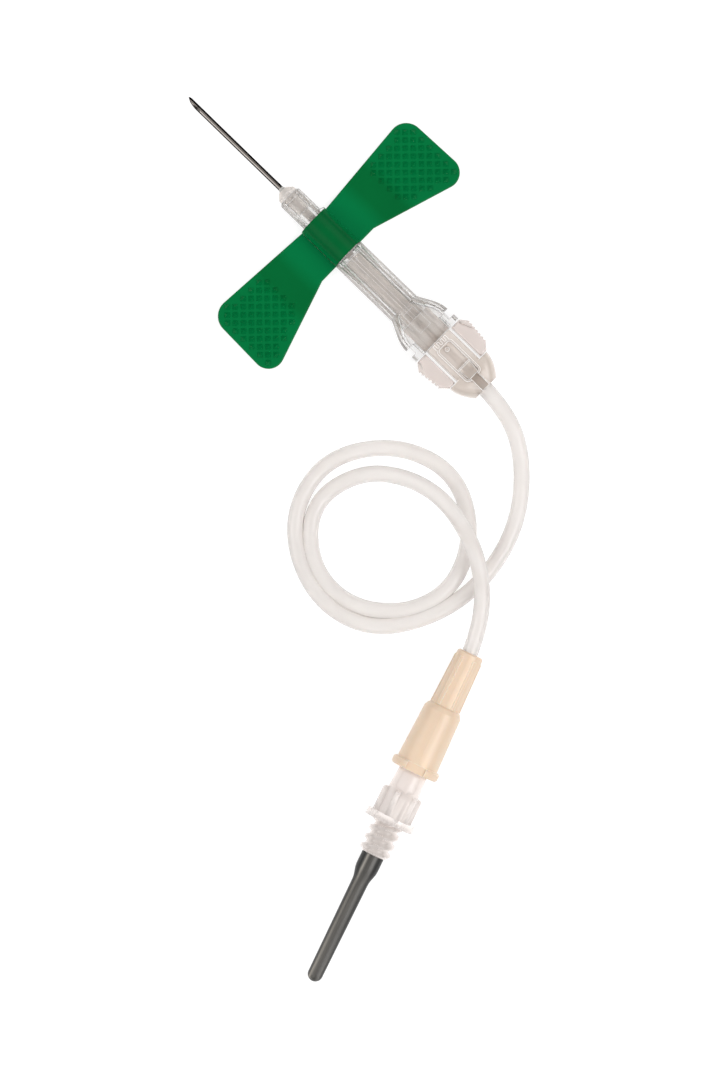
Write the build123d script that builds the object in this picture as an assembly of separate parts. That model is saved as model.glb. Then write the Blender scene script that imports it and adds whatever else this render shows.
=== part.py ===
from build123d import *
import os
from math import atan, cos, degrees, pi, radians, sin, sqrt, tan

# Safety butterfly needle for drawing blood, lying flat.
# +X is the way the needle points, +Z is up and the table is at z = 0.
# The origin is on the table under the middle of the needle and its grip. Millimetres.

# Front needle, 21 gauge
needle_od = 0.82
needle_bore = 0.51
needle_showing = 19.71
needle_seated = 7.0
bevel_length = 2.8
side_grind_length = 1.6
side_grind_turn = 32.0
bevel_turn = -35.0
needle_seat_end_diameter = 0.78
needle_seat_clearance = 0.02

# Milky hub: nose, stem, grip middle and tail
nose_front_diameter = 1.44
nose_diameter = 3.1
nose_cone_length = 0.8
nose_step_showing = 0.5
nose_guide_depth = 0.85
glue_cup_diameter = 1.22
glue_cup_depth = 0.5
glue_standing = 0.4
stem_front_diameter = 2.5
stem_waist_diameter = 1.9
stem_front_length = 2.37
blade_width = 1.3
blade_height = 2.8
stem_diameter = 2.4
stem_rib_width = 0.5
stem_rib_count = 4
lumen_diameter = 1.0
hub_block_width = 5.0
hub_block_height = 3.8
hub_block_corner_radius = 1.2
hub_block_setback = 2.3
grip_middle_width = 4.6
grip_height = 5.7
grip_edge_radius = 0.35

# Clear barrel that slides forward over the needle
front_barrel_diameter = 3.84
front_bore_diameter = 3.25
front_barrel_length = 12.3
front_edge_radius = 0.3
stop_tab_length = 0.45
stop_tab_slope_length = 0.25
stop_tab_reach = 2.5
stop_tab_height = 2.0
wide_barrel_diameter = 5.3
wide_bore_diameter = 4.2
wide_barrel_length = 11.52
bore_step_wall = 0.7
rib_running_clearance = 0.08
gate_mark_diameter = 1.0
gate_mark_height = 0.12
gate_mark_distance = 1.15

# Flared housing at the barrel's rear
housing_height = 6.0
dome_length = 4.8
dome_width = 8.8
dome_corner_radius = 1.5
dome_start_step = 0.05
dome_stations = (0.0, 0.25, 0.5, 0.75, 1.0)
dome_swell_power = 1.2
rear_block_width = 8.9
rear_block_corner_radius = 1.1
side_notch_length = 1.18
side_notch_depth = 0.85
rear_flange_length = 0.97
housing_wall = 0.75
mouth_width = 5.9
mouth_height = 4.5
mouth_corner_radius = 0.8
rail_width = 3.2
rail_front_distance = 0.4
lock_window_width = 2.1
lock_window_length = 3.65
lock_window_margin = 0.45
lock_window_depth = 0.35
scoop_distance = 3.3
scoop_reach = 2.05
scoop_outer_radius = 1.4
scoop_width = 0.4
scoop_depth = 0.55

# Squeeze pads beside the grip middle
grip_front_gap = 0.05
pad_slot = 0.45
pad_front_gap = 0.2
pad_height = 5.2
pad_front_half_width = 4.45
pad_corner_half_width = 5.35
pad_rear_corner_half_width = 4.95
pad_root_half_width = 3.9
pad_length = 6.1
pad_nose_length = 1.15
pad_face_length = 3.8
pad_root_gap = 0.08
pad_edge_radius = 0.35
pad_bevel_length = 2.4
pad_bevel_depth = 1.3
pad_bevel_start = 4.0
pad_bevel_end = 5.0
grip_groove_count = 6
grip_groove_radius = 0.17

# Tail of the hub, with the socket that the tubing is bonded into
tail_front_width = 7.7
tail_rear_width = 4.4
tail_rear_height = 4.2
tail_stations = (0.0, 0.35, 0.65, 0.85, 1.0)
tail_taper_power = 1.9
tail_length = 3.7
tail_corner_radius = 1.6
tube_socket_depth = 4.0
tube_socket_clearance = 0.02
window_width = 2.4
window_length = 6.25
window_depth = 0.5
window_front_distance = 1.2
window_corner_radius = 0.45
window_rim_width = 0.3
window_rim_height = 0.12
gate_dot_diameter = 0.66
gate_dot_distance = 0.75
cross_rib_thickness = 0.25
cross_rib_distance = 4.05
port_rise = 0.42
port_front_width = 2.2
port_rear_width = 1.8
tail_groove_width = 1.35
tail_groove_depth = 0.3
bump_count = 4
bump_width = 0.38
bump_pitch = 0.72
bump_height = 0.12

# Green wings and the saddle that holds them on the barrel
wing_span = 42.5
wing_root_chord = 7.13
wing_end_chord = 13.5
wing_front_sweep = 1.35
wing_parallel_reach = 5.5
wing_thickness = 0.9
wing_front_corner_radius = 2.7
wing_rear_corner_radius = 2.4
wing_end_slope = 0.43
wing_edge_radius = 0.22
wing_fold_gap = 0.03
saddle_wall = 0.53
saddle_clearance = 0.05
stud_pitch = 1.2
stud_base = 0.85
stud_height = 0.42
stud_taper = 44.0
stud_row_count = 11
stud_patch_depth = 9.88
stud_first_distance = 2.38
stud_edge_margin = 0.72
stud_rear_margin = 1.1

# Tubing
tube_od = 2.4
tube_lift = 0.05

# Female luer on the tube's far end
luer_end_x = -56.83
luer_end_y = 29.86
luer_turn = 18.3
luer_neck_length = 8.75
luer_neck_small_diameter = 4.05
luer_neck_large_diameter = 4.5
luer_neck_rib_height = 0.15
luer_edge_radius = 0.25
luer_neck_rib_width = 0.55
luer_neck_rib_count = 6
luer_neck_rib_margin = 0.9
luer_body_length = 9.45
luer_body_small_diameter = 5.85
luer_body_large_diameter = 6.45
luer_shoulder_radius = 0.9
luer_flange_length = 1.3
luer_flange_diameter = 7.45
luer_lug_gap_width = 3.0
luer_lug_gap_depth = 0.6
luer_mouth_diameter = 4.3
luer_taper = 0.06
luer_socket_depth = 9.0
luer_fit_clearance = 0.02
luer_tube_socket_depth = 4.0

# Male luer adapter with its threaded end
male_cone_depth = 7.6
adapter_cone_length = 3.4
adapter_cone_small_diameter = 4.4
adapter_cone_large_diameter = 4.85
adapter_body_diameter = 5.0
fin_length = 4.0
fin_span = 6.25
fin_thickness = 0.7
fin_count = 6
fin_end_radius = 0.6
adapter_flange_length = 1.1
adapter_flange_diameter = 7.6
thread_length = 5.15
thread_diameter = 4.72
thread_chamfer = 0.45
nipple_length = 1.9
nipple_diameter = 2.6
adapter_lumen_diameter = 1.7

# Tube-side needle and its rubber sleeve
tail_needle_od = 0.9
tail_needle_bore = 0.6
tail_needle_reach = 16.5
tail_needle_seated = 5.0
tail_bevel_length = 2.4
tail_glue_length = 0.5
tail_glue_diameter = 1.7
sleeve_length = 20.75
sleeve_shank_diameter = 2.52
sleeve_tip_diameter = 2.28
sleeve_mouth_diameter = 3.45
sleeve_mouth_ring_length = 1.9
sleeve_flare_length = 2.6
sleeve_tip_bore = 1.3
sleeve_mouth_clearance = 0.02
sleeve_tip_wall = 0.6
sleeve_gap = 0.1

# Places along X, worked out from the lengths above
nose_showing = nose_cone_length + nose_step_showing
housing_length = dome_length + side_notch_length + rear_flange_length
barrel_length = front_barrel_length + wide_barrel_length + housing_length
grip_length = pad_front_gap - grip_front_gap + pad_length + pad_root_gap + tail_length
overall_length = needle_showing + nose_showing + barrel_length + grip_front_gap + grip_length
needle_tip_x = overall_length / 2
nose_x = needle_tip_x - needle_showing
glue_front_x = nose_x + glue_standing
needle_rear_x = nose_x - needle_seated
barrel_front_x = nose_x - nose_showing
barrel_step_x = barrel_front_x - front_barrel_length
dome_front_x = barrel_step_x - wide_barrel_length
dome_rear_x = dome_front_x - dome_length
barrel_rear_x = barrel_front_x - barrel_length
grip_front_x = barrel_rear_x - grip_front_gap
pad_front_x = barrel_rear_x - pad_front_gap
pad_root_x = pad_front_x - pad_length
tail_front_x = pad_root_x - pad_root_gap
grip_rear_x = tail_front_x - tail_length
tube_seat_x = grip_rear_x + tube_socket_depth

# Heights above the table
axis_z = housing_height / 2
luer_axis_z = adapter_flange_diameter / 2
tube_lie_z = tube_od / 2 + tube_lift

# Wing places
saddle_rear_x = barrel_step_x + saddle_clearance
saddle_front_x = saddle_rear_x + wing_root_chord
saddle_half_width = front_barrel_diameter / 2 + saddle_clearance + saddle_wall
wing_root_y = saddle_half_width + wing_fold_gap

# Luer places along its own axis, counted from the tube's end
luer_body_start = luer_neck_length
luer_flange_start = luer_body_start + luer_body_length
luer_mouth = luer_flange_start + luer_flange_length
fin_start = luer_mouth + adapter_cone_length
adapter_flange_start = fin_start + fin_length
thread_start = adapter_flange_start + adapter_flange_length
thread_end = thread_start + thread_length
sleeve_start = thread_end + sleeve_gap
tail_needle_tip = thread_end + tail_needle_reach

# Where the tubing bends, chosen by hand from the photograph; each point is (x, y, height of its centre)
luer_direction = (-sin(radians(luer_turn)), cos(radians(luer_turn)))
tube_end = (
    luer_end_x + luer_tube_socket_depth * luer_direction[0],
    luer_end_y + luer_tube_socket_depth * luer_direction[1],
    luer_axis_z,
)
tube_last_bend_distance = 4.0
tube_last_bend = (
    luer_end_x - tube_last_bend_distance * luer_direction[0],
    luer_end_y - tube_last_bend_distance * luer_direction[1],
    luer_axis_z,
)
tube_bends = [
    (-34.5, 0.0, axis_z),
    (-41.8, 3.1, 1.7),
    (-48.5, 10.9, tube_lie_z),
    (-50.9, 20.8, tube_lie_z),
    (-49.1, 30.1, tube_lie_z),
    (-43.5, 38.2, tube_lie_z),
    (-33.8, 40.2, tube_lie_z),
    (-23.9, 34.9, tube_lie_z),
    (-20.8, 24.8, tube_lie_z),
    (-26.5, 15.6, tube_lie_z),
    (-36.0, 12.0, tube_lie_z),
    (-44.3, 16.3, tube_lie_z),
    (-48.4, 24.5, tube_lie_z),
    (-45.9, 32.4, tube_lie_z),
    (-38.7, 37.7, tube_lie_z),
    (-30.4, 37.0, tube_lie_z),
    (-24.2, 30.4, tube_lie_z),
    (-26.1, 21.9, 1.7),
    (-32.2, 17.3, 3.3),
    (-39.3, 16.1, 5.4),
    (-48.4, 19.0, 6.0),
]
route = [(tube_seat_x, 0.0, axis_z), *tube_bends, tube_last_bend, tube_end]


def turned(profile_points):
    """Solid of revolution about X at the needle's height, from (x, radius) points in order."""
    first_x = profile_points[0][0]
    last_x = profile_points[-1][0]
    face = make_face(Polyline((first_x, 0), *profile_points, (last_x, 0), close=True))
    return Pos(0, 0, axis_z) * revolve(face, Axis.X)


def rod_x(x_low, x_high, diameter, y=0.0):
    """Cylinder along X at the needle's height."""
    rod = Cylinder(diameter / 2, x_high - x_low, align=(Align.CENTER, Align.CENTER, Align.MIN))
    return Pos(x_low, y, axis_z) * Rot(0, 90, 0) * rod


def block(x_low, x_high, width, height, z_middle=None):
    """Box centred on the needle's axis unless another height is given."""
    middle = axis_z if z_middle is None else z_middle
    return Pos((x_low + x_high) / 2, 0, middle) * Box(x_high - x_low, width, height)


def section(x, width, height, radius):
    """Rounded rectangle across X, facing along it."""
    plane = Plane(origin=(x, 0, axis_z), x_dir=(0, 1, 0), z_dir=(-1, 0, 0))
    return plane * RectangleRounded(width, height, radius)


def rounded_bar(x_low, x_high, width, height, radius):
    """Straight bar along X with a rounded rectangle as its section."""
    return extrude(section(x_high, width, height, radius), amount=x_high - x_low)


def bevel_cut(tip_x, diameter, length, turn, forward):
    """Wedge that grinds one flat onto a tube's end, turned about the tube and moved forward to its tip."""
    slope = degrees(atan(diameter / length))
    reach = 6 * length
    grinder = Box(2 * reach, 4 * diameter, reach, align=(Align.CENTER, Align.CENTER, Align.MIN))
    flat = Pos(tip_x + forward, 0, -diameter / 2) * Rot(0, slope, 0) * grinder
    return Rot(turn, 0, 0) * flat


def lancet_tube(tip_x, seat_x, diameter, bore, length, side_length, side_turn, facing):
    """Steel tube along X with a lancet point: one long flat and two side flats that meet it."""
    tube = Pos(seat_x, 0, 0) * Rot(0, 90, 0) * Cylinder(
        diameter / 2, tip_x - seat_x, align=(Align.CENTER, Align.CENTER, Align.MIN)
    )
    hole = Pos(seat_x, 0, 0) * Rot(0, 90, 0) * Cylinder(
        bore / 2, tip_x - seat_x, align=(Align.CENTER, Align.CENTER, Align.MIN)
    )
    side_slope = atan(diameter / side_length)
    forward = diameter / 2 * (1 - cos(radians(side_turn))) / tan(side_slope)
    tube -= hole
    tube -= bevel_cut(tip_x, diameter, length, 0, 0)
    for turn in (-side_turn, side_turn):
        tube -= bevel_cut(tip_x, diameter, side_length, turn, forward)
    return Rot(facing, 0, 0) * tube


def make_front_needle():
    """Front needle, its bevel turned partly to the side and its rear end ground to a slight taper."""
    needle = lancet_tube(
        needle_tip_x, glue_front_x, needle_od, needle_bore,
        bevel_length, side_grind_length, side_grind_turn, bevel_turn,
    )
    seat = turned([
        (glue_front_x, needle_od / 2),
        (needle_rear_x, needle_seat_end_diameter / 2),
    ])
    seat -= rod_x(needle_rear_x, glue_front_x, needle_bore)
    return Pos(0, 0, axis_z) * needle + seat


def make_needle_glue():
    """Ring of adhesive that fills the cup round the needle and stands a little proud."""
    inner = needle_od / 2 + needle_seat_clearance / 2
    outer = glue_cup_diameter / 2 - needle_seat_clearance
    points = [
        (nose_x - glue_cup_depth + needle_seat_clearance, inner),
        (nose_x - glue_cup_depth + needle_seat_clearance, outer),
        (nose_x, outer),
        (nose_x + glue_standing / 2, inner + (outer - inner) / 3),
        (glue_front_x, inner),
    ]
    face = make_face(Polyline(*points, close=True))
    return Pos(0, 0, axis_z) * revolve(face, Axis.X)


def hub_nose():
    """Cone, its step and the guide that runs in the barrel's front bore."""
    cone_back = nose_x - nose_cone_length
    guide_back = barrel_front_x - nose_guide_depth
    return turned([
        (nose_x, nose_front_diameter / 2),
        (cone_back, nose_diameter / 2),
        (guide_back, nose_diameter / 2),
    ])


def hub_stem():
    """Round neck, flat blade through the wing saddle and the ribbed stem behind it."""
    guide_back = barrel_front_x - nose_guide_depth
    blade_front = guide_back - stem_front_length
    stem_front = barrel_step_x - bore_step_wall - pad_front_gap
    neck = turned([(guide_back, stem_front_diameter / 2), (blade_front, stem_waist_diameter / 2)])
    blade = block(stem_front, blade_front, blade_width, blade_height)
    stem_rear = dome_front_x - hub_block_setback
    core = rod_x(stem_rear, stem_front, stem_diameter)
    rib_reach = wide_bore_diameter / 2 - rib_running_clearance
    ring = rod_x(stem_rear, stem_front, 2 * rib_reach)
    rib = block(stem_rear, stem_front, stem_rib_width, 2 * rib_reach)
    stem = neck + blade + core
    blade_count = stem_rib_count // 2
    for index in range(blade_count):
        turn = Rot(180 * index / blade_count, 0, 0)
        stem += (Pos(0, 0, axis_z) * turn * Pos(0, 0, -axis_z) * rib) & ring
    return stem


def hub_tail():
    """Tail that narrows round the tubing."""
    sections = []
    for share in tail_stations:
        narrowing = share**tail_taper_power
        width = tail_front_width + (tail_rear_width - tail_front_width) * narrowing
        height = grip_height + (tail_rear_height - grip_height) * narrowing
        sections.append(section(tail_front_x - tail_length * share, width, height, tail_corner_radius))
    return loft(sections)


def window_outline(length, width, radius):
    """Rounded rectangle in plan, centred on the grip's window."""
    middle = grip_front_x - window_front_distance - window_length / 2
    return Pos(middle, 0, 0) * RectangleRounded(length, width, radius)


def window_pocket():
    """Rim, pocket and the small forms inside it, as one cut and one addition for the upper face."""
    top = axis_z + grip_height / 2
    front = grip_front_x - window_front_distance
    rim_outline = window_outline(
        window_length + 2 * window_rim_width,
        window_width + 2 * window_rim_width,
        window_corner_radius + window_rim_width,
    )
    floor = top - window_depth
    rim = Pos(0, 0, floor) * extrude(rim_outline, window_depth + window_rim_height)
    cut = Pos(0, 0, floor) * extrude(
        window_outline(window_length, window_width, window_corner_radius), 2 * window_depth
    )
    dot = Pos(front - gate_dot_distance, 0, floor) * Cylinder(
        gate_dot_diameter / 2, window_depth / 2, align=(Align.CENTER, Align.CENTER, Align.MIN)
    )
    cross = block(
        front - cross_rib_distance - cross_rib_thickness, front - cross_rib_distance,
        window_width, window_depth, floor + window_depth / 2,
    )
    port_front = front - cross_rib_distance - cross_rib_thickness
    port_rear = front - window_length
    port_face = make_face(Polyline(
        (port_front, port_front_width / 2), (port_rear, port_rear_width / 2),
        (port_rear, -port_rear_width / 2), (port_front, -port_front_width / 2), close=True,
    ))
    port = Pos(0, 0, floor) * extrude(port_face, port_rise)
    return rim, cut, dot + cross + port


def upside_down(shape):
    """The same form on the underside."""
    return Pos(0, 0, 2 * axis_z) * mirror(shape, Plane.XY)


def grip_bumps():
    """Row of small bumps just behind the barrel."""
    top = axis_z + grip_height / 2
    bumps = []
    for index in range(bump_count):
        y = (index - (bump_count - 1) / 2) * bump_pitch
        place = Pos(grip_front_x - window_front_distance / 2, y, top)
        bumps.append(place * Box(2 * bump_width, bump_width, 2 * bump_height))
    return bumps


def make_needle_hub():
    """The one milky moulding that carries the needle at its nose and the tubing at its tail."""
    hub = hub_nose() + hub_stem()
    hub += rounded_bar(
        grip_front_x, dome_front_x - hub_block_setback, hub_block_width, hub_block_height,
        hub_block_corner_radius,
    )
    hub += rounded_bar(tail_front_x, grip_front_x, grip_middle_width, grip_height, grip_edge_radius)
    hub += hub_tail()
    rim, cut, inside = window_pocket()
    hub += rim + upside_down(rim)
    hub -= cut + upside_down(cut)
    hub += inside + upside_down(inside)
    groove_top = axis_z + grip_height / 2
    groove_front = grip_front_x - window_front_distance - window_length
    groove = block(
        grip_rear_x - tail_groove_depth, groove_front, tail_groove_width,
        grip_height - tail_rear_height + 2 * tail_groove_depth, groove_top,
    )
    hub -= groove + upside_down(groove)
    for bump in grip_bumps():
        hub += bump
    hub -= rod_x(tube_seat_x, barrel_front_x, lumen_diameter)
    hub -= rod_x(needle_rear_x, nose_x, needle_od + 2 * needle_seat_clearance)
    hub -= rod_x(nose_x - glue_cup_depth, nose_x, glue_cup_diameter)
    hub -= rod_x(grip_rear_x - tube_od, tube_seat_x, tube_od + 2 * tube_socket_clearance)
    return hub


def dome_sections(front_wall, rear_wall):
    """Sections of the flare from the round barrel to its wide rear, drawn in by a wall for its hollow."""
    start = wide_barrel_diameter - 2 * dome_start_step
    shapes = []
    for share in dome_stations:
        wall = front_wall + (rear_wall - front_wall) * share
        swell = sin(share * pi / 2) ** dome_swell_power
        width = start + (dome_width - start) * swell - 2 * wall
        height = start + (housing_height - start) * swell - 2 * wall
        round_corner = start / 2 - wall - dome_start_step
        radius = round_corner + (dome_corner_radius - wall / 2 - round_corner) * share
        shapes.append(section(dome_front_x - dome_length * share, width, height, radius))
    return shapes


def stop_tab():
    """Small sloped tab on the right that the wings' saddle is pressed back against."""
    rear = saddle_front_x + saddle_clearance
    root = front_bore_diameter / 2
    outline = make_face(Polyline(
        (rear, -root),
        (rear, -stop_tab_reach),
        (rear + stop_tab_length - stop_tab_slope_length, -stop_tab_reach),
        (rear + stop_tab_length, -front_barrel_diameter / 2),
        (rear + stop_tab_length, -root),
        close=True,
    ))
    return Pos(0, 0, axis_z - stop_tab_height / 2) * extrude(outline, stop_tab_height)


def shoulder_scoops():
    """Curved grooves in the flare's shoulders, above and below, one pair on each side."""
    floor = axis_z + housing_height / 2 - scoop_depth
    middle_x = dome_front_x - scoop_distance
    ring = Circle(scoop_outer_radius) - Circle(scoop_outer_radius - scoop_width)
    quarter = ring & Rectangle(scoop_outer_radius, scoop_outer_radius, align=(Align.MIN, Align.MIN))
    groove = Pos(middle_x, scoop_reach, floor) * extrude(quarter, 2 * scoop_depth)
    pair = groove + mirror(groove, Plane.XZ)
    return pair + upside_down(pair)


def make_shield_barrel():
    """Clear barrel: slim front under the wings, wide middle and flared housing with its flange."""
    front = turned([
        (barrel_front_x, front_barrel_diameter / 2 - front_edge_radius),
        (barrel_front_x - front_edge_radius, front_barrel_diameter / 2),
        (barrel_step_x, front_barrel_diameter / 2),
        (barrel_step_x, wide_barrel_diameter / 2 - front_edge_radius / 2),
        (barrel_step_x - front_edge_radius / 2, wide_barrel_diameter / 2),
        (dome_front_x, wide_barrel_diameter / 2),
    ])
    barrel = front + loft(dome_sections(0.0, 0.0))
    barrel += rounded_bar(
        barrel_rear_x, dome_rear_x, rear_block_width, housing_height, rear_block_corner_radius,
    )
    rail_front_x = dome_front_x - rail_front_distance
    barrel += block(dome_rear_x, rail_front_x, rail_width, housing_height)
    barrel += stop_tab()
    barrel += Pos(barrel_step_x - gate_mark_distance, 0, axis_z) * Cylinder(
        gate_mark_diameter / 2, wide_barrel_diameter / 2 + gate_mark_height,
        align=(Align.CENTER, Align.CENTER, Align.MIN),
    )
    notch_middle = dome_rear_x - side_notch_length / 2
    for side in (-1, 1):
        notch = Box(side_notch_length, 2 * side_notch_depth, 2 * housing_height)
        barrel -= Pos(notch_middle, side * rear_block_width / 2, axis_z) * notch
    bore_wall = (wide_barrel_diameter - wide_bore_diameter) / 2 - dome_start_step
    barrel -= loft(dome_sections(bore_wall, housing_wall))
    barrel -= rounded_bar(barrel_rear_x, dome_rear_x, mouth_width, mouth_height, mouth_corner_radius)
    barrel -= rod_x(dome_front_x, barrel_step_x - bore_step_wall, wide_bore_diameter)
    barrel -= rod_x(dome_front_x, barrel_front_x, front_bore_diameter)
    window_front_x = rail_front_x - lock_window_margin
    window = block(
        window_front_x - lock_window_length, window_front_x, lock_window_width,
        2 * lock_window_depth, housing_height,
    )
    barrel -= window + upside_down(window)
    return barrel - shoulder_scoops()


def pad_outline():
    """Plan of the left pad, from its root beside the tail to its front corner by the barrel."""
    inner = grip_middle_width / 2 + pad_slot
    nose_x_place = pad_front_x - pad_nose_length
    face_end_x = nose_x_place - pad_face_length
    return make_face(Polyline(
        (pad_root_x, inner),
        (pad_front_x, inner),
        (pad_front_x, pad_front_half_width),
        (nose_x_place, pad_corner_half_width),
        (face_end_x, pad_rear_corner_half_width),
        (pad_root_x, pad_root_half_width),
        close=True,
    ))


def grip_grooves():
    """Upright grooves along the pad's outer face."""
    start = (pad_front_x - pad_nose_length, pad_corner_half_width)
    end = (start[0] - pad_face_length, pad_rear_corner_half_width)
    grooves = []
    for index in range(grip_groove_count):
        share = (index + 0.5) / grip_groove_count
        x = start[0] + share * (end[0] - start[0])
        y = start[1] + share * (end[1] - start[1])
        grooves.append(Pos(x, y, axis_z) * Cylinder(grip_groove_radius, 2 * pad_height))
    return grooves


def pad_bevel():
    """Sloped cut along the pad's upper front corner, deepest at its outer edge."""
    top = axis_z + pad_height / 2
    rise = pad_bevel_end - pad_bevel_start
    slope = degrees(atan(pad_bevel_depth / rise))
    turn = degrees(atan(rise / pad_bevel_length))
    cutter = Box(4 * pad_bevel_length, pad_height, pad_height, align=(Align.CENTER, Align.MIN, Align.MIN))
    return Pos(pad_front_x, pad_bevel_start, top) * Rot(0, 0, -turn) * Rot(-slope, 0, 0) * cutter


def make_left_pad():
    """Left squeeze pad."""
    pad = Pos(0, 0, axis_z - pad_height / 2) * extrude(pad_outline(), pad_height)
    outer = pad.edges().filter_by(Plane.XY).group_by(Axis.Z)
    pad = fillet(outer[0] + outer[-1], pad_edge_radius)
    for groove in grip_grooves():
        pad -= groove
    return pad - pad_bevel() - upside_down(pad_bevel())


def wing_outline():
    """Plan of the left wing beyond its fold."""
    reach = wing_span / 2
    front_root = saddle_front_x
    rear_root = saddle_rear_x
    front_end = front_root + wing_front_sweep
    rear_end = front_end - wing_end_chord
    face = make_face(Polyline(
        (front_root, wing_root_y),
        (front_end, reach - wing_end_slope),
        (rear_end, reach),
        (rear_root, wing_parallel_reach),
        (rear_root, wing_root_y),
        close=True,
    ))
    by_reach = face.vertices().sort_by(Axis.Y)
    face = fillet(by_reach[-2], wing_front_corner_radius)
    return fillet(face.vertices().sort_by(Axis.X)[0], wing_rear_corner_radius)


def clear_of_edges(x, y, rim):
    """Whether a stud's middle stands well inside the wing's rim, and further in from its flared rear."""
    reach = wing_span / 2
    front = saddle_front_x + wing_front_sweep * (y - wing_root_y) / (reach - wing_root_y)
    rear_end = saddle_front_x + wing_front_sweep - wing_end_chord
    flare = (saddle_rear_x - rear_end) / (reach - wing_parallel_reach)
    rear = saddle_rear_x - flare * (y - wing_parallel_reach)
    between = rear + stud_rear_margin < x < front
    return between and rim.distance_to(Vertex(x, y, 0)) > stud_edge_margin


def stud_places():
    """Rows of studs across the wing's end, every other row moved along by half a step."""
    rim = wing_outline().face().outer_wire()
    step = stud_pitch * sqrt(2)
    reach = int(wing_end_chord / step) + 1
    places = []
    for row in range(stud_row_count):
        y = wing_span / 2 - stud_patch_depth + row * step / 2
        for column in range(-reach, reach + 1):
            x = saddle_rear_x + stud_first_distance + (column + row % 2 / 2) * step
            if clear_of_edges(x, y, rim):
                places.append((x, y))
    return places


def make_left_wing():
    """Left wing: a flat plate with soft edges and a patch of small pyramids for the fingers."""
    plate = extrude(wing_outline(), wing_thickness)
    rims = plate.edges().filter_by(Plane.XY)
    soft = [edge for edge in rims if edge.center().Y > wing_root_y + wing_fold_gap]
    plate = fillet(soft, wing_edge_radius)
    stud = extrude(Rectangle(stud_base, stud_base), stud_height, taper=stud_taper)
    studs = [Pos(x, y, wing_thickness) * Rot(0, 0, 45) * stud for x, y in stud_places()]
    return plate + studs


def make_wing_saddle():
    """Arch that grips the slim front of the barrel, with a flat sole level with the wings."""
    length = saddle_front_x - saddle_rear_x
    arch = rod_x(saddle_rear_x, saddle_front_x, 2 * saddle_half_width)
    middle_x = (saddle_front_x + saddle_rear_x) / 2
    legs = Pos(middle_x, 0, axis_z / 2) * Box(length, 2 * saddle_half_width, axis_z)
    bore = rod_x(saddle_rear_x, saddle_front_x, front_barrel_diameter + 2 * saddle_clearance)
    return arch + legs - bore


def tube_radii():
    """Radius at each bend: 0.45 of the shorter run beside it, divided by the tangent of half the turn."""
    radii = []
    for before, here, after in zip(route, route[1:], route[2:]):
        arriving = Vector(*here) - Vector(*before)
        leaving = Vector(*after) - Vector(*here)
        half_turn = radians(arriving.get_angle(leaving)) / 2
        radii.append(0.45 * min(arriving.length, leaving.length) / tan(half_turn))
    return radii


def make_tubing():
    """Soft tubing, bonded into the hub's tail and into the female luer."""
    radii = tube_radii()
    path = FilletPolyline(*route, radius=radii)
    start = Plane(origin=route[0], z_dir=path % 0)
    tube = sweep(start * Circle(tube_od / 2), path)
    straight_volume = pi * tube_od**2 / 4 * path.length
    print("tube radii", [round(radius, 1) for radius in radii])
    print("tube length", round(path.length, 2), "volume share", round(tube.volume / straight_volume, 4))
    return tube


def luer_turned(profile_points):
    """Solid of revolution about the luer's own axis, from (distance, radius) points in order."""
    points = [(radius, distance) for distance, radius in profile_points]
    outline = Plane.XZ * Polyline((0, points[0][1]), *points, (0, points[-1][1]), close=True)
    return revolve(make_face(outline), Axis.Z)


def on_luer_axis(shape):
    """Moves a form made along its own Z to where the connector lies."""
    place = Plane(
        origin=(luer_end_x, luer_end_y, luer_axis_z), x_dir=(0, 0, 1),
        z_dir=(luer_direction[0], luer_direction[1], 0),
    )
    return place.location * shape


def peg(start, end, diameter):
    """Cylinder along the luer's own axis."""
    rod = Cylinder(diameter / 2, end - start, align=(Align.CENTER, Align.CENTER, Align.MIN))
    return Pos(0, 0, start) * rod


def luer_bore_diameter(depth):
    """Diameter of the standard tapered socket at a depth below its mouth."""
    return luer_mouth_diameter - luer_taper * depth


def make_female_luer():
    """Beige female luer: ribbed neck for the tubing, body with a tapered socket and two lugs."""
    body = luer_turned([
        (0, luer_neck_small_diameter / 2 - luer_edge_radius),
        (luer_edge_radius, luer_neck_small_diameter / 2),
        (luer_body_start, luer_neck_large_diameter / 2),
        (luer_body_start + luer_shoulder_radius / 3, luer_body_small_diameter / 2 - luer_shoulder_radius / 3),
        (luer_body_start + luer_shoulder_radius, luer_body_small_diameter / 2),
        (luer_flange_start, luer_body_large_diameter / 2),
        (luer_flange_start, luer_flange_diameter / 2 - luer_edge_radius),
        (luer_flange_start + luer_edge_radius, luer_flange_diameter / 2),
        (luer_mouth - luer_edge_radius, luer_flange_diameter / 2),
        (luer_mouth, luer_flange_diameter / 2 - luer_edge_radius),
    ])
    ribbed = luer_turned([
        (luer_neck_rib_margin, luer_neck_small_diameter / 2 + luer_neck_rib_height),
        (luer_body_start, luer_neck_large_diameter / 2 + luer_neck_rib_height),
    ])
    for index in range(luer_neck_rib_count):
        slab = Box(
            luer_body_small_diameter, luer_neck_rib_width, luer_body_start,
            align=(Align.MIN, Align.CENTER, Align.MIN),
        )
        body += ribbed & Rot(0, 0, 360 * (index + 0.5) / luer_neck_rib_count) * slab
    for side in (-1, 1):
        gap = Box(2 * luer_lug_gap_depth, luer_lug_gap_width, luer_flange_length)
        body -= Pos(side * luer_flange_diameter / 2, 0, (luer_flange_start + luer_mouth) / 2) * gap
    socket = luer_turned([
        (luer_mouth - luer_socket_depth, luer_bore_diameter(luer_socket_depth) / 2),
        (luer_mouth, luer_bore_diameter(0) / 2),
    ])
    body -= socket
    body -= peg(0, luer_mouth, lumen_diameter)
    body -= peg(0, luer_tube_socket_depth, tube_od + 2 * tube_socket_clearance)
    return on_luer_axis(body)


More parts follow.
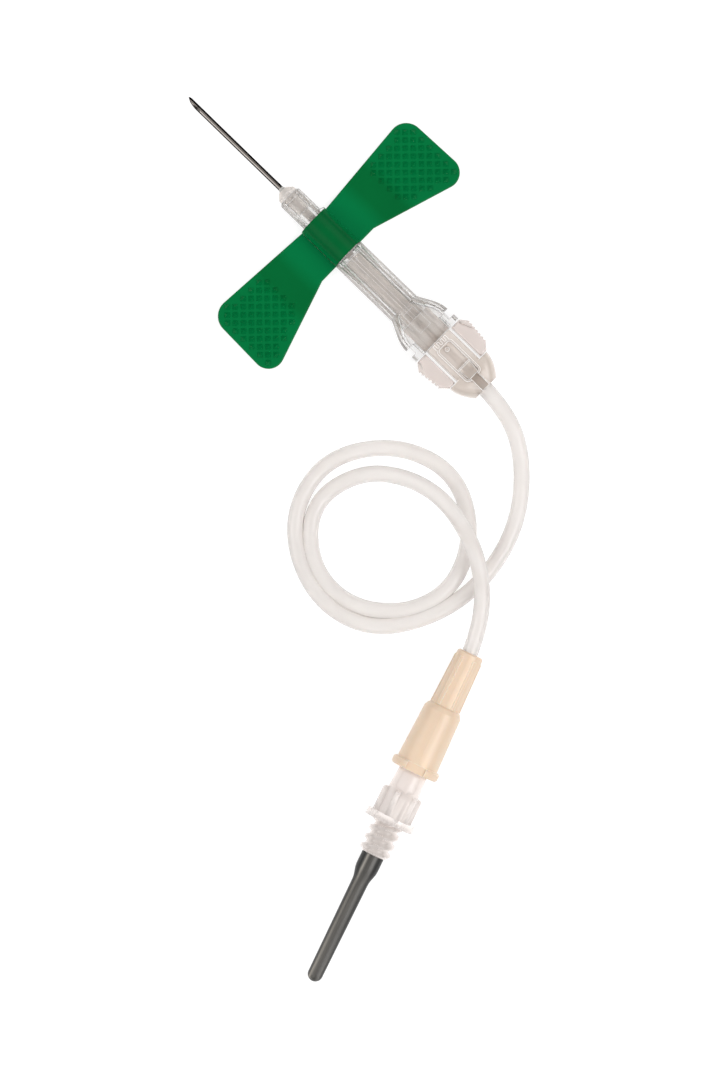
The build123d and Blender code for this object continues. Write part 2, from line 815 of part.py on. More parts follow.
def make_luer_adapter():
    """Clear male luer with grip fins, a flange and the threaded end that screws into a tube holder."""
    tip_diameter = luer_bore_diameter(male_cone_depth) - 2 * luer_fit_clearance
    mouth_diameter = luer_bore_diameter(0) - 2 * luer_fit_clearance
    body = luer_turned([
        (luer_mouth - male_cone_depth, tip_diameter / 2),
        (luer_mouth + luer_fit_clearance, mouth_diameter / 2),
        (luer_mouth + luer_fit_clearance, adapter_cone_small_diameter / 2),
        (fin_start, adapter_cone_large_diameter / 2),
        (fin_start, adapter_body_diameter / 2),
        (adapter_flange_start, adapter_body_diameter / 2),
        (adapter_flange_start, adapter_flange_diameter / 2),
        (thread_start, adapter_flange_diameter / 2),
        (thread_start, thread_diameter / 2),
        (thread_end - thread_chamfer, thread_diameter / 2),
        (thread_end, thread_diameter / 2 - thread_chamfer),
        (thread_end, nipple_diameter / 2),
        (thread_end + nipple_length, nipple_diameter / 2),
    ])
    for index in range(fin_count):
        fin = Pos(fin_span / 4, 0, (fin_start + adapter_flange_start) / 2) * Box(
            fin_span / 2, fin_thickness, fin_length
        )
        outer = fin.edges().filter_by(Axis.Y).group_by(Axis.X)[-1].sort_by(Axis.Z)[:1]
        fin = fillet(outer, fin_end_radius)
        body += Rot(0, 0, 360 * (index + 0.25) / fin_count) * fin
    end = thread_end + nipple_length
    body -= peg(luer_mouth - male_cone_depth, adapter_flange_start, adapter_lumen_diameter)
    body -= peg(luer_mouth, end, tail_needle_od + 2 * needle_seat_clearance)
    body -= peg(end - tail_glue_length, end, tail_glue_diameter)
    return on_luer_axis(body)


def make_tail_needle():
    """Tube-side needle, held in the adapter and pointed inside its sleeve."""
    needle = lancet_tube(
        tail_needle_tip, thread_end - tail_needle_seated, tail_needle_od, tail_needle_bore,
        tail_bevel_length, tail_bevel_length / 2, side_grind_turn, 0,
    )
    return on_luer_axis(Rot(0, -90, 0) * needle)


def make_tail_needle_glue():
    """Ring of adhesive round the tube-side needle in the adapter's end."""
    end = thread_end + nipple_length
    start = end - tail_glue_length + needle_seat_clearance
    ring = peg(start, end, tail_glue_diameter - 2 * needle_seat_clearance)
    return on_luer_axis(ring - peg(0, 2 * end, tail_needle_od + needle_seat_clearance))


def make_rubber_sleeve():
    """Rubber sleeve over the tube-side needle, wider at its mouth where it grips the adapter's nipple."""
    end = sleeve_start + sleeve_length
    tip_radius = sleeve_tip_diameter / 2
    shank_radius = sleeve_shank_diameter / 2
    mouth_radius = sleeve_mouth_diameter / 2
    ring_end = sleeve_start + sleeve_mouth_ring_length
    flare_end = ring_end + sleeve_flare_length
    outline = [
        Line((0, sleeve_start), (mouth_radius, sleeve_start)),
        Line((mouth_radius, sleeve_start), (mouth_radius, ring_end)),
        Spline((mouth_radius, ring_end), (shank_radius, flare_end), tangents=((0, 1), (0, 1))),
        Line((shank_radius, flare_end), (tip_radius, end - tip_radius)),
        RadiusArc((tip_radius, end - tip_radius), (0, end), -tip_radius),
        Line((0, end), (0, sleeve_start)),
    ]
    outside = revolve(make_face([Plane.XZ * edge for edge in outline]), Axis.Z)
    mouth_bore = nipple_diameter / 2 + sleeve_mouth_clearance
    inside = luer_turned([
        (sleeve_start, mouth_bore),
        (thread_end + nipple_length + sleeve_mouth_clearance, mouth_bore),
        (flare_end, sleeve_tip_bore / 2),
        (end - sleeve_tip_wall, sleeve_tip_bore / 2),
    ])
    return on_luer_axis(outside - inside)


def other_side(shape):
    """Mirror image across the needle's own upright plane."""
    return mirror(shape, Plane.XZ)


left_wing = make_left_wing()
left_pad = make_left_pad()
pieces = {
    "front_needle": make_front_needle(),
    "needle_glue": make_needle_glue(),
    "needle_hub": make_needle_hub(),
    "left_squeeze_pad": left_pad,
    "right_squeeze_pad": other_side(left_pad),
    "shield_barrel": make_shield_barrel(),
    "wing_saddle": make_wing_saddle(),
    "left_wing": left_wing,
    "right_wing": other_side(left_wing),
    "tubing": make_tubing(),
    "female_luer": make_female_luer(),
    "luer_adapter": make_luer_adapter(),
    "tube_side_needle": make_tail_needle(),
    "tube_side_needle_glue": make_tail_needle_glue(),
    "rubber_sleeve": make_rubber_sleeve(),
}

os.makedirs("parts", exist_ok=True)
for name, piece in pieces.items():
    export_step(piece, f"parts/{name}.step")
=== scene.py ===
import math

import bpy
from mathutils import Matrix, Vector


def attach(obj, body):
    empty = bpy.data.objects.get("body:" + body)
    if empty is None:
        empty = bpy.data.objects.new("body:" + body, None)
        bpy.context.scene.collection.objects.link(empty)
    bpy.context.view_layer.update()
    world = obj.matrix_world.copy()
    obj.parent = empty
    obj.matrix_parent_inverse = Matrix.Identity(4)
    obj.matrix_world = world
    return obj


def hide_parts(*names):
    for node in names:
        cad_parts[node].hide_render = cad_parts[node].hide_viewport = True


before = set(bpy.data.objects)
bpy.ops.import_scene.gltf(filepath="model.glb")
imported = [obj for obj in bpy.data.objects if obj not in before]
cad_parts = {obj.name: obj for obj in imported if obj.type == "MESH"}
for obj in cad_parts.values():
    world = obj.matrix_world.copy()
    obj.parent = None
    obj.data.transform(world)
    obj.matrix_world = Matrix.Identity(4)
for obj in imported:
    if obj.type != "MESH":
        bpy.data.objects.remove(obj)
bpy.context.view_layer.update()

# Studio
# The set lies on a white, glowing table inside a ring of soft light, darker overhead and at the
# horizon, and the camera looks straight down on it from 0.7 m.
camera_height = 0.70
picture_height = 0.1612
picture_middle = (-0.03312, 0.02940)
picture_turn = math.radians(224.2)
camera_data = bpy.data.cameras.new("camera")
camera_data.sensor_width = 36.0
camera_data.lens = camera_data.sensor_width * camera_height / picture_height
camera_data.clip_start = 0.01
camera_data.clip_end = 10.0
camera = bpy.data.objects.new("camera", camera_data)
camera.location = (*picture_middle, camera_height)
camera.rotation_euler = (0, 0, picture_turn)
bpy.context.scene.collection.objects.link(camera)
bpy.context.scene.camera = camera
bpy.context.scene.view_settings.view_transform = "Standard"


def fill_ramp(ramp, stops):
    """Gives a ramp its stops, each a position with a colour or a grey."""
    elements = ramp.color_ramp.elements
    while len(elements) < len(stops):
        elements.new(0.5)
    for element, (position, colour) in zip(elements, stops):
        element.position = position
        element.color = (*colour, 1) if isinstance(colour, tuple) else (colour, colour, colour, 1)


ring_of_light = [(0.0, 0.06), (0.30, 0.12), (0.46, 1.10), (0.84, 1.10), (0.95, 0.22), (1.0, 0.18)]
world = bpy.data.worlds.new("white room")
world.use_nodes = True
room = world.node_tree
room_way = room.nodes.new("ShaderNodeTexCoord")
room_height = room.nodes.new("ShaderNodeSeparateXYZ")
room_fade = room.nodes.new("ShaderNodeValToRGB")
fill_ramp(room_fade, ring_of_light)
room.links.new(room_way.outputs["Generated"], room_height.inputs["Vector"])
room.links.new(room_height.outputs["Z"], room_fade.inputs["Fac"])
room.links.new(room_fade.outputs["Color"], room.nodes["Background"].inputs["Color"])
room.nodes["Background"].inputs["Strength"].default_value = 1.0
bpy.context.scene.world = world


def add_panel(name, place, size, power):
    """Square soft light that faces the middle of the set."""
    set_middle = Vector((-0.02, 0.02, 0))
    data = bpy.data.lights.new(name, "AREA")
    data.size = size
    data.energy = power
    panel = bpy.data.objects.new(name, data)
    panel.location = place
    way = panel.location - set_middle
    panel.rotation_euler = way.to_track_quat("Z", "Y").to_euler()
    bpy.context.scene.collection.objects.link(panel)


add_panel("window panel", place=(-0.55, -0.15, 0.75), size=0.5, power=2.6)
add_panel("near panel", place=(0.45, 0.45, 0.5), size=0.25, power=0.8)

table_size = 3.0
table_drop = 0.0001
bpy.ops.object.select_all(action="DESELECT")
bpy.ops.mesh.primitive_grid_add(
    x_subdivisions=4, y_subdivisions=4, size=table_size, location=(0, 0, -table_drop),
)
bpy.ops.object.transform_apply(location=True)
table_top = bpy.context.object
table_top.name = "table_top"


def start_material(name, colour, roughness, **shader_values):
    """New material with its mean colour and constants on the shader, and the place for its patterns."""
    material = bpy.data.materials.new(name)
    material.use_nodes = True
    tree = material.node_tree
    shader = tree.nodes["Principled BSDF"]
    shader.inputs["Base Color"].default_value = (*colour, 1)
    shader.inputs["Roughness"].default_value = roughness
    for socket, value in shader_values.items():
        shader.inputs[socket.replace("_", " ")].default_value = value
    place = tree.nodes.new("ShaderNodeTexCoord")
    return material, tree, shader, place.outputs["Object"]


def add_noise(tree, place, scale, detail=2.0, stretch=(1, 1, 1), turn=0.0):
    """Cloudy pattern over the piece, about one spot in 1/scale metres, drawn out by the stretch."""
    mapping = tree.nodes.new("ShaderNodeMapping")
    mapping.vector_type = "TEXTURE"
    mapping.inputs["Rotation"].default_value = (0, 0, turn)
    mapping.inputs["Scale"].default_value = stretch
    tree.links.new(place, mapping.inputs["Vector"])
    noise = tree.nodes.new("ShaderNodeTexNoise")
    noise.inputs["Scale"].default_value = scale
    noise.inputs["Detail"].default_value = detail
    tree.links.new(mapping.outputs["Vector"], noise.inputs["Vector"])
    return noise.outputs["Fac"]


def shade_between(tree, pattern, low, high, socket, edges=(0.35, 0.65)):
    """Lets a pattern move a colour or a value between two ends."""
    ramp = tree.nodes.new("ShaderNodeValToRGB")
    fill_ramp(ramp, list(zip(edges, (low, high))))
    tree.links.new(pattern, ramp.inputs["Fac"])
    tree.links.new(ramp.outputs["Color"], socket)


def add_relief(tree, pattern, shader, depth):
    """Small unevenness of the surface at half strength, depth in metres."""
    bump = tree.nodes.new("ShaderNodeBump")
    bump.inputs["Distance"].default_value = depth
    bump.inputs["Strength"].default_value = 0.5
    tree.links.new(pattern, bump.inputs["Height"])
    tree.links.new(bump.outputs["Normal"], shader.inputs["Normal"])


def dress(node, material):
    """Gives one of the model's own pieces its finish."""
    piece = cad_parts[node]
    piece.data.materials.clear()
    piece.data.materials.append(material)


white_table, tree, shader, place = start_material(
    "white table", (0.30, 0.30, 0.30), roughness=0.6, Emission_Color=(1, 1, 1, 1), Emission_Strength=0.80,
)
shade_between(
    tree, add_noise(tree, place, 40), (0.29, 0.29, 0.29), (0.31, 0.31, 0.31), shader.inputs["Base Color"],
)
table_top.data.materials.append(white_table)

# Front needle
# A 21 gauge steel tube, drawn and polished, ground to a lancet point, and glued into the cup at
# the front of the hub's nose with a clear adhesive.


def add_tone(tree, place, axis, edges, colours, middle=(0, 0, 0), turn=0.0):
    """Tone that changes along one axis between two edges, with each colour at its share of the way."""
    mapping = tree.nodes.new("ShaderNodeMapping")
    mapping.vector_type = "TEXTURE"
    mapping.inputs["Location"].default_value = middle
    mapping.inputs["Rotation"].default_value = (0, 0, turn)
    axes = tree.nodes.new("ShaderNodeSeparateXYZ")
    tree.links.new(place, mapping.inputs["Vector"])
    tree.links.new(mapping.outputs["Vector"], axes.inputs["Vector"])
    spread = tree.nodes.new("ShaderNodeMapRange")
    spread.inputs["From Min"].default_value = edges[0]
    spread.inputs["From Max"].default_value = edges[1]
    tree.links.new(axes.outputs[axis], spread.inputs["Value"])
    ramp = tree.nodes.new("ShaderNodeValToRGB")
    fill_ramp(ramp, colours)
    tree.links.new(spread.outputs["Result"], ramp.inputs["Fac"])
    return ramp.outputs["Color"]


def tint(tree, pattern, tone, low, high, socket):
    """Multiplies a tone by a pattern, so that both show."""
    usual_low, usual_high = 0.3, 0.7
    grain = tree.nodes.new("ShaderNodeMapRange")
    grain.inputs["From Min"].default_value = usual_low
    grain.inputs["From Max"].default_value = usual_high
    grain.inputs["To Min"].default_value = low
    grain.inputs["To Max"].default_value = high
    tree.links.new(pattern, grain.inputs["Value"])
    mix = tree.nodes.new("ShaderNodeVectorMath")
    mix.operation = "SCALE"
    tree.links.new(tone, mix.inputs["Vector"])
    tree.links.new(grain.outputs["Result"], mix.inputs["Scale"])
    tree.links.new(mix.outputs["Vector"], socket)


needle_radius = 0.00041
steel, tree, shader, place = start_material(
    "drawn steel", (0.30, 0.28, 0.27), roughness=0.22, Metallic=1.0, Specular_Tint=(0.10, 0.09, 0.08, 1),
)
# Painted reflection: the steel is coloured dark along both sides and light in a stripe along its top, for
# what a polished tube reflects.
painted_reflection_tone = add_tone(
    tree, place, "Y", (-needle_radius, needle_radius),
    [(0.0, (0.008, 0.007, 0.006)), (0.34, (0.010, 0.009, 0.008)), (0.44, (0.42, 0.37, 0.34)),
     (0.78, (0.66, 0.60, 0.55)), (0.87, (0.04, 0.036, 0.034)), (1.0, (0.008, 0.007, 0.006))],
)
drawing_marks = add_noise(tree, place, 900, stretch=(12, 1, 1))
tint(tree, drawing_marks, painted_reflection_tone, 0.8, 1.2, shader.inputs["Base Color"])
polish_marks = add_noise(tree, place, 2500, stretch=(10, 1, 1))
shade_between(tree, polish_marks, 0.16, 0.30, shader.inputs["Roughness"])
dress("front_needle", steel)

adhesive, tree, shader, place = start_material(
    "cured adhesive", (0.86, 0.84, 0.80), roughness=0.12, IOR=1.52, Transmission_Weight=0.5,
)
add_relief(tree, add_noise(tree, place, 1800), shader, depth=0.00004)
dress("needle_glue", adhesive)

# Needle hub
# One milky polypropylene moulding that carries the needle at its nose, runs back through the
# barrel as a ribbed stem, and ends in the middle of the grip and the tail that holds the tubing.


def add_edge_lines(tree, reach):
    """Lines where two faces meet, found from how far the normal of a rounded corner turns there."""
    flat_agreement = 0.985
    corner_agreement = 0.86
    rounded = tree.nodes.new("ShaderNodeBevel")
    rounded.samples = 16
    rounded.inputs["Radius"].default_value = reach
    surface = tree.nodes.new("ShaderNodeNewGeometry")
    agree = tree.nodes.new("ShaderNodeVectorMath")
    agree.operation = "DOT_PRODUCT"
    tree.links.new(rounded.outputs["Normal"], agree.inputs[0])
    tree.links.new(surface.outputs["Normal"], agree.inputs[1])
    line = tree.nodes.new("ShaderNodeMapRange")
    line.inputs["From Min"].default_value = flat_agreement
    line.inputs["From Max"].default_value = corner_agreement
    tree.links.new(agree.outputs["Value"], line.inputs["Value"])
    return line.outputs["Result"]


def blend_colours(tree, share, first, second):
    """Passes from the first colour to the second as the share rises."""
    mix = tree.nodes.new("ShaderNodeMix")
    mix.data_type = "RGBA"
    tree.links.new(share, mix.inputs["Factor"])
    first_colour, second_colour, blended_colour = mix.inputs[6], mix.inputs[7], mix.outputs[2]
    for socket, colour in ((first_colour, first), (second_colour, second)):
        if isinstance(colour, tuple):
            socket.default_value = (*colour, 1)
        else:
            tree.links.new(colour, socket)
    return blended_colour


def make_clear_plastic(
    name, thin, thick, roughness, clearness, edge_reach=0.0002, edge_clearness=0.05, cover=1.0, painted_glow=0.0,
    tones=None, flow=(30, 1, 1),
):
    """Clear moulding, tinted more where it is seen at a slant, with painted highlights whitening its edges.

    The thin and thick colours are for a straight and a slanted sight; the cover is the least share
    of sight that the plastic takes up; the tones, if any, stand in for the thin colour; the painted
    glow is an emission that lights the moulding though it is no lamp; and the flow is how far the
    moulding's unevenness is drawn out along each axis.
    """
    slant_blend = 0.35
    slant_from, slant_to = 0.15, 0.60
    material, tree, shader, place = start_material(
        name, thin, roughness, IOR=1.49, Emission_Color=(1.0, 0.94, 0.91, 1), Emission_Strength=painted_glow,
    )
    if tones:
        thin = add_tone(tree, place, *tones)
    slant = tree.nodes.new("ShaderNodeLayerWeight")
    slant.inputs["Blend"].default_value = slant_blend
    depth = tree.nodes.new("ShaderNodeMapRange")
    depth.inputs["From Min"].default_value = slant_from
    depth.inputs["From Max"].default_value = slant_to
    tree.links.new(slant.outputs["Facing"], depth.inputs["Value"])
    body = blend_colours(tree, depth.outputs["Result"], thin, thick)
    edge = add_edge_lines(tree, edge_reach)
    cloud = tree.nodes.new("ShaderNodeVectorMath")
    cloud.operation = "SCALE"
    tree.links.new(body, cloud.inputs["Vector"])
    shade_between(tree, add_noise(tree, place, 280), 0.965, 1.0, cloud.inputs["Scale"])
    # Painted highlight: along the edges the colour turns white.
    tree.links.new(blend_colours(tree, edge, cloud.outputs["Vector"], (1, 1, 1)), shader.inputs["Base Color"])
    solid = tree.nodes.new("ShaderNodeMath")
    solid.operation = "MAXIMUM"
    tree.links.new(edge, solid.inputs[0])
    tree.links.new(depth.outputs["Result"], solid.inputs[1])
    body_and_edge = solid.outputs["Value"]
    shade_between(
        tree, body_and_edge, clearness, edge_clearness, shader.inputs["Transmission Weight"], edges=(0, 1),
    )
    if cover < 1:
        shade_between(tree, body_and_edge, cover, 1.0, shader.inputs["Alpha"], edges=(0.0, 0.12))
    add_relief(tree, add_noise(tree, place, 500, stretch=flow), shader, depth=0.000006)
    return material


hub_rear = -0.031
hub_front = 0.012
tail_tone = (0.84, 0.75, 0.68)
grip_tone = (0.94, 0.86, 0.80)
# Painted light: the stem's tone is lighter than the grip's, to make up for light that the barrel around it
# holds back.
stem_tone_with_painted_light = (1.0, 0.945, 0.90)
hub_tones = [
    (0.0, tail_tone), (0.09, tail_tone), (0.13, grip_tone), (0.24, grip_tone), (0.27, stem_tone_with_painted_light),
    (1.0, stem_tone_with_painted_light),
]
milky_plastic = make_clear_plastic(
    "milky polypropylene", thin=(0.99, 0.92, 0.865), thick=(0.86, 0.77, 0.70), roughness=0.10,
    clearness=0.52, tones=("X", (hub_rear, hub_front), hub_tones),
)
dress("needle_hub", milky_plastic)

# Squeeze pads
# Two clear flaps beside the grip's middle that the nurse presses together to free the barrel;
# their outer faces are grooved for the fingers.
pad_plastic = make_clear_plastic(
    "pad plastic", thin=(0.93, 0.84, 0.80), thick=(0.84, 0.76, 0.71), roughness=0.08, clearness=0.70,
    edge_reach=0.0001, edge_clearness=0.35,
)
dress("left_squeeze_pad", pad_plastic)
dress("right_squeeze_pad", pad_plastic)

# Shield barrel
# Clear polycarbonate tube with a flared housing at its rear; it slides forward over the used
# needle and locks there.
barrel_radius = 0.0026
# Painted shade and light: the lengthwise dark lines and darker outlines across the barrel stand in for what
# refraction through its walls shows.
clear_wall = (1.0, 1.0, 1.0)
outline = (0.62, 0.57, 0.53)
painted_refraction_lines = [
    (0.0, (0.90, 0.87, 0.85)), (0.03, outline), (0.07, (1.0, 0.98, 0.97)), (0.18, clear_wall),
    (0.22, (0.66, 0.63, 0.60)), (0.29, (0.94, 0.92, 0.90)), (0.50, (1.0, 0.985, 0.97)),
    (0.71, (0.98, 0.96, 0.94)), (0.79, clear_wall), (0.83, (0.52, 0.50, 0.48)), (0.88, (0.97, 0.96, 0.95)),
    (0.96, outline), (1.0, (0.90, 0.87, 0.85)),
]
clear_plastic = make_clear_plastic(
    "clear barrel plastic", thin=(1.0, 0.985, 0.975), thick=(0.36, 0.32, 0.29), roughness=0.01,
    clearness=0.97, edge_reach=0.00014, edge_clearness=0.30, cover=0.24,
    tones=("Y", (-barrel_radius, barrel_radius), painted_refraction_lines),
)
dress("shield_barrel", clear_plastic)

# Wings and saddle
# One soft green vinyl moulding: an arch pressed over the slim front of the barrel, with a wing
# on each side that folds up between finger and thumb and carries a patch of small pyramids.
wing_reach = 0.021
patch_tone = (0.0, 0.165, 0.044)
waist_tone = (0.0, 0.127, 0.030)
slope_tone = (0.0, 0.130, 0.031)
shoulder_tone = (0.0, 0.175, 0.050)
root_tone = (0.0, 0.200, 0.060)
green_vinyl, tree, shader, place = start_material(
    "green vinyl", (0.0, 0.140, 0.035), roughness=0.30, IOR=1.5, Specular_IOR_Level=0.09,
)
wing_tone = add_tone(
    tree, place, "Y", (-wing_reach, wing_reach),
    [(0.0, patch_tone), (0.20, patch_tone), (0.24, waist_tone), (0.31, slope_tone), (0.36, shoulder_tone),
     (0.43, root_tone), (0.57, root_tone), (0.64, shoulder_tone), (0.69, slope_tone), (0.76, waist_tone),
     (0.80, patch_tone), (1.0, patch_tone)],
)
tint(tree, add_noise(tree, place, 120), wing_tone, 0.95, 1.05, shader.inputs["Base Color"])
add_relief(tree, add_noise(tree, place, 2600, detail=4), shader, depth=0.00002)
dress("left_wing", green_vinyl)
dress("right_wing", green_vinyl)

# Painted shade and reflection: the arch is darker than the wings, for the barrel's shade under it, with a
# lighter middle for a reflection and lighter steep sides.
saddle_half_width = 0.0025
saddle_vinyl_with_painted_shade, tree, shader, place = start_material(
    "green vinyl over the barrel with painted shade", (0.0, 0.11, 0.027), roughness=0.30, IOR=1.5,
    Specular_IOR_Level=0.09,
)
arch_painted_shade_and_reflection = add_tone(
    tree, place, "Y", (-saddle_half_width, saddle_half_width),
    [(0.0, (0.0, 0.180, 0.050)), (0.14, (0.0, 0.112, 0.028)), (0.5, (0.0, 0.120, 0.029)),
     (0.86, (0.0, 0.112, 0.028)), (1.0, (0.0, 0.180, 0.050))],
)
stretch_marks = add_noise(tree, place, 300, stretch=(1, 4, 1))
tint(tree, stretch_marks, arch_painted_shade_and_reflection, 0.94, 1.06, shader.inputs["Base Color"])
add_relief(tree, add_noise(tree, place, 2600, detail=4), shader, depth=0.00002)
dress("wing_saddle", saddle_vinyl_with_painted_shade)

# Female luer
# Beige moulding bonded on the tube's end, with grip ribs on its neck, a standard tapered socket
# inside and two lugs on its rim.
beige_plastic, tree, shader, place = start_material(
    "beige polypropylene", (0.82, 0.635, 0.47), roughness=0.3, IOR=1.49, Subsurface_Weight=0.35,
    Subsurface_Radius=(0.003, 0.002, 0.0012),
)
cloudy_beige = tree.nodes.new("ShaderNodeVectorMath")
cloudy_beige.operation = "SCALE"
cloudy_beige.inputs["Vector"].default_value = (0.84, 0.655, 0.49)
shade_between(tree, add_noise(tree, place, 160), 0.95, 1.0, cloudy_beige.inputs["Scale"])
# Painted highlight: the colour turns pale along the moulding's edges.
painted_edge_highlights = blend_colours(
    tree, add_edge_lines(tree, 0.00012), cloudy_beige.outputs["Vector"], (0.95, 0.90, 0.80),
)
tree.links.new(painted_edge_highlights, shader.inputs["Base Color"])
add_relief(tree, add_noise(tree, place, 1500), shader, depth=0.00002)
dress("female_luer", beige_plastic)

# Luer adapter
# Frosted clear male luer pushed into the socket, with fins to turn it by and a coarse two-start
# thread moulded on its end, which screws into a blood-tube holder.
connector_end = (-0.05683, 0.02986, 0.0038)
connector_turn = math.radians(18.3)
thread_start = 0.0280
thread_end = 0.03315
thread_lead = 0.0030
thread_root = 0.00187
thread_first_valley = 0.02425
thread_starts = 2
thread_turns = 4
steps_in_a_turn = 48
groove_outside = 0.0030
valley_half_width = 0.00030
flank_width = 0.00030
crest_width = 0.00030
flank_rise = 0.00058
hair = 0.00002
short_overrun = 10 * hair
long_overrun = 20 * hair
merge_distance = 0.000001
smooth_up_to = math.radians(32)

# One point is drawn out into the thread's outline, and the outline is wound up into a core.
bpy.ops.object.select_all(action="DESELECT")
bpy.ops.mesh.primitive_plane_add(size=0.001, location=(thread_root, 0, thread_first_valley))
bpy.ops.object.transform_apply(location=True)
thread_core = bpy.context.object
thread_core.name = "thread_core"
bpy.ops.object.mode_set(mode="EDIT")
bpy.ops.mesh.merge(type="CENTER")
one_crest = [
    (0, valley_half_width), (flank_rise, flank_width), (0, crest_width), (-flank_rise, flank_width),
    (0, valley_half_width),
]
for rise, advance in one_crest * thread_starts:
    bpy.ops.mesh.extrude_region_move(TRANSFORM_OT_translate={"value": (rise, 0, advance)})
bpy.ops.object.mode_set(mode="OBJECT")
winding = thread_core.modifiers.new("winding", "SCREW")
winding.axis = "Z"
winding.screw_offset = thread_lead
winding.iterations = thread_turns
winding.steps = steps_in_a_turn
winding.render_steps = steps_in_a_turn
winding.use_merge_vertices = True
winding.merge_threshold = merge_distance
bpy.ops.object.modifier_apply(modifier="winding")
bpy.ops.object.mode_set(mode="EDIT")
bpy.ops.mesh.select_all(action="SELECT")
bpy.ops.mesh.remove_doubles(threshold=merge_distance)
bpy.ops.mesh.bisect(
    plane_co=(0, 0, thread_start - short_overrun), plane_no=(0, 0, 1), clear_inner=True, use_fill=True,
)
bpy.ops.mesh.select_all(action="SELECT")
bpy.ops.mesh.bisect(
    plane_co=(0, 0, thread_end + long_overrun), plane_no=(0, 0, 1), clear_outer=True, use_fill=True,
)
bpy.ops.mesh.select_all(action="SELECT")
bpy.ops.mesh.normals_make_consistent(inside=False)
bpy.ops.object.mode_set(mode="OBJECT")

# A short cylinder is hollowed by that core, which leaves the shape of the grooves.
bpy.ops.object.select_all(action="DESELECT")
groove_length = thread_end + short_overrun - (thread_start + hair)
groove_middle = thread_start + hair + groove_length / 2
bpy.ops.mesh.primitive_cylinder_add(
    vertices=2 * steps_in_a_turn, radius=groove_outside, depth=groove_length, location=(0, 0, groove_middle),
)
bpy.ops.object.transform_apply(location=True)
thread_grooves = bpy.context.object
thread_grooves.name = "thread_grooves"
hollow = thread_grooves.modifiers.new("hollow", "BOOLEAN")
hollow.operation = "DIFFERENCE"
hollow.solver = "EXACT"
hollow.object = thread_core
bpy.ops.object.modifier_apply(modifier="hollow")
thread_grooves.location = connector_end
thread_grooves.rotation_euler = (-math.pi / 2, 0, connector_turn)
bpy.ops.object.transform_apply(location=True, rotation=True)

# The grooves are cut from a copy of the plain adapter, and the copy takes its place.
threaded_adapter = bpy.data.objects.new("threaded_luer_adapter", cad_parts["luer_adapter"].data.copy())
bpy.context.scene.collection.objects.link(threaded_adapter)
bpy.ops.object.select_all(action="DESELECT")
threaded_adapter.select_set(True)
bpy.context.view_layer.objects.active = threaded_adapter
bpy.ops.object.mode_set(mode="EDIT")
bpy.ops.mesh.select_all(action="SELECT")
bpy.ops.mesh.remove_doubles(threshold=merge_distance)
bpy.ops.object.mode_set(mode="OBJECT")
cut = threaded_adapter.modifiers.new("thread", "BOOLEAN")
cut.operation = "DIFFERENCE"
cut.solver = "EXACT"
cut.object = thread_grooves
bpy.ops.object.modifier_apply(modifier="thread")
bpy.ops.object.shade_smooth_by_angle(angle=smooth_up_to)
bpy.data.objects.remove(thread_core)
bpy.data.objects.remove(thread_grooves)

adapter_rear = 0.0182
adapter_front = 0.0332
# Painted light: the fins are lighter than the taper, to lift the shade between them; the flange and the
# thread are darker.
taper_tone = (0.80, 0.72, 0.68)
fin_tone_with_painted_light = (0.97, 0.90, 0.86)
flange_tone = (0.66, 0.60, 0.57)
thread_tone = (0.52, 0.47, 0.44)
adapter_tones = [
    (0.0, taper_tone), (0.33, taper_tone), (0.38, fin_tone_with_painted_light), (0.60, fin_tone_with_painted_light), (0.63, flange_tone),
    (0.70, thread_tone), (1.0, thread_tone),
]
# Painted glow: a faint emission lights the adapter from within, though it is no lamp.
frosted_plastic = make_clear_plastic(
    "frosted clear plastic", thin=(0.86, 0.79, 0.755), thick=(0.90, 0.82, 0.78), roughness=0.16,
    clearness=0.10, edge_reach=0.0001, edge_clearness=0.10, cover=0.85, painted_glow=0.13, flow=(1, 1, 1),
    tones=("Y", (adapter_rear, adapter_front), adapter_tones, connector_end, connector_turn),
)
threaded_adapter.data.materials.clear()
threaded_adapter.data.materials.append(frosted_plastic)
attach(threaded_adapter, "hub")
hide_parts("luer_adapter")

# Tube-side needle
# Second steel needle, a little thicker than the front one, which pierces the stopper of the blood
# tube. It is held in the adapter and glued at the end of the adapter's nipple.
dress("tube_side_needle", steel)
dress("tube_side_needle_glue", adhesive)

# Rubber sleeve
# Soft grey rubber sleeve, moulded with one closed end and pushed over the adapter's nipple. It
# covers the tube-side needle and stops the drip between tubes.
rubber_radius = 0.0012
grey_rubber, tree, shader, place = start_material("grey rubber", (0.10, 0.10, 0.09), roughness=0.45)
# Painted shade and highlight: dark along both sides of the sleeve with light streaks along it, for how light
# falls on the round sleeve.
painted_rubber_shade_and_highlights = add_tone(
    tree, place, "X", (-rubber_radius, rubber_radius),
    [(0.0, (0.012, 0.012, 0.011)), (0.12, (0.030, 0.029, 0.027)), (0.22, (0.110, 0.105, 0.098)),
     (0.45, (0.060, 0.056, 0.050)), (0.68, (0.090, 0.084, 0.075)), (0.80, (0.250, 0.230, 0.200)),
     (0.90, (0.050, 0.048, 0.044)), (1.0, (0.012, 0.012, 0.011))],
    middle=connector_end, turn=connector_turn,
)
moulding_streaks = add_noise(tree, place, 1500, detail=3, stretch=(1, 20, 1), turn=connector_turn)
tint(tree, moulding_streaks, painted_rubber_shade_and_highlights, 0.6, 1.4, shader.inputs["Base Color"])
add_relief(tree, add_noise(tree, place, 3000), shader, depth=0.00003)
dress("rubber_sleeve", grey_rubber)

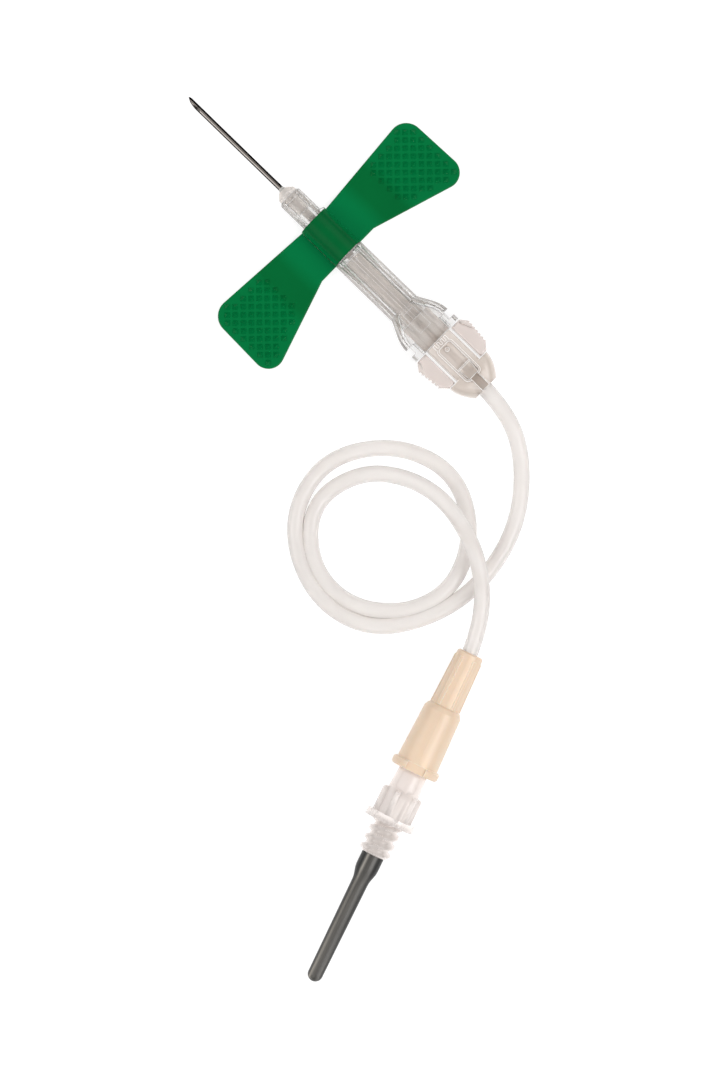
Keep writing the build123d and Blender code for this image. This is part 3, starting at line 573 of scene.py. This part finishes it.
# Tubing
# Soft clear vinyl tube, 2.4 mm thick, bonded into the hub's tail and into the female luer. It
# lies loose in a little over two turns, and its last run is raised and crosses them twice.
tube_diameter = 0.0024
hub_socket = (-0.02693, 0.0, 0.003)
tube_points = [
    (-0.0345, 0.0, 0.003), (-0.0418, 0.0031, 0.0017), (-0.0485, 0.0109, 0.00125),
    (-0.0509, 0.0208, 0.00125), (-0.0491, 0.0301, 0.00125), (-0.0435, 0.0382, 0.00125),
    (-0.0338, 0.0402, 0.00125),
    (-0.0239, 0.0349, 0.00125), (-0.0208, 0.0248, 0.00125), (-0.0265, 0.0156, 0.00125),
    (-0.0360, 0.0120, 0.00125), (-0.0443, 0.0163, 0.00125), (-0.0484, 0.0245, 0.00125),
    (-0.0459, 0.0324, 0.00125), (-0.0387, 0.0377, 0.00125), (-0.0304, 0.0370, 0.00125),
    (-0.0242, 0.0304, 0.00125), (-0.0261, 0.0219, 0.0017), (-0.0322, 0.0173, 0.0033),
    (-0.0393, 0.0161, 0.0054), (-0.0484, 0.0190, 0.0060), (-0.055574, 0.026062, 0.0038),
]
luer_socket = (-0.058086, 0.033658, 0.0038)
tube_curve = bpy.data.curves.new("tubing_run", "CURVE")
tube_curve.dimensions = "3D"
tube_curve.bevel_depth = tube_diameter / 2
tube_curve.bevel_resolution = 6
tube_curve.resolution_u = 12
tube_line = tube_curve.splines.new("NURBS")
tube_route = [hub_socket, *tube_points, luer_socket]
tube_line.points.add(len(tube_route) - 1)
for point, spot in zip(tube_line.points, tube_route):
    point.co = (*spot, 1)
tube_line.order_u = 3
tube_line.use_endpoint_u = True
tube_curve.use_fill_caps = True
tubing = bpy.data.objects.new("tubing_run", tube_curve)
bpy.context.scene.collection.objects.link(tubing)

soft_tube, tree, shader, place = start_material(
    "soft clear vinyl", (0.96, 0.91, 0.88), roughness=0.25, IOR=1.45, Transmission_Weight=0.45,
    Subsurface_Weight=0.3, Subsurface_Radius=(0.002, 0.002, 0.002),
)
shade_between(
    tree, add_noise(tree, place, 90), (0.94, 0.89, 0.86), (0.98, 0.93, 0.90), shader.inputs["Base Color"],
)
add_relief(tree, add_noise(tree, place, 500), shader, depth=0.00003)
tube_curve.materials.append(soft_tube)
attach(tubing, "hub")
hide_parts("tubing")
